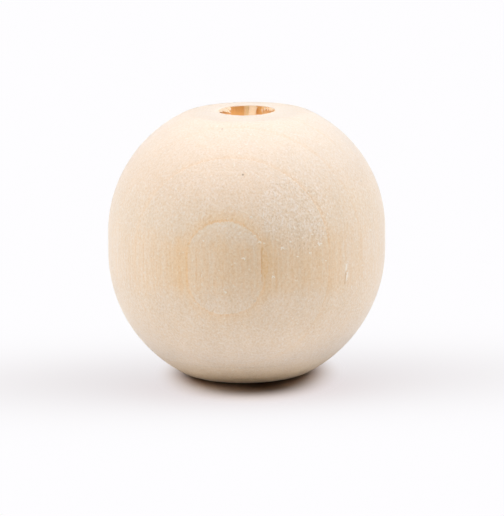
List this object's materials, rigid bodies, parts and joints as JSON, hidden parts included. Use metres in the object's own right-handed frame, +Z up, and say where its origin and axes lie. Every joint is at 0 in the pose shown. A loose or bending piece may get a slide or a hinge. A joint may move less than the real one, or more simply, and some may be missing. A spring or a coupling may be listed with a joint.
{
  "type": "wooden bead",
  "caption": "Round turned wooden bead with flat ends and a straight bore from end to end, for threading on a cord, wire or thin rod.",
  "frame": {"origin": "middle of the lower end, on the axis of the bore, where the bead stands", "axes": "+Z up the bore from the lower end to the upper end; +X and +Y are free, because the bead is round about the bore"},
  "size_m": [0.025, 0.025, 0.0238],
  "materials": {
    "wood": "bare, turned and tumbled, with slightly raised grain"
  },
  "bodies": {
    "root": {"bead": "wood"}
  },
  "joints": []
}
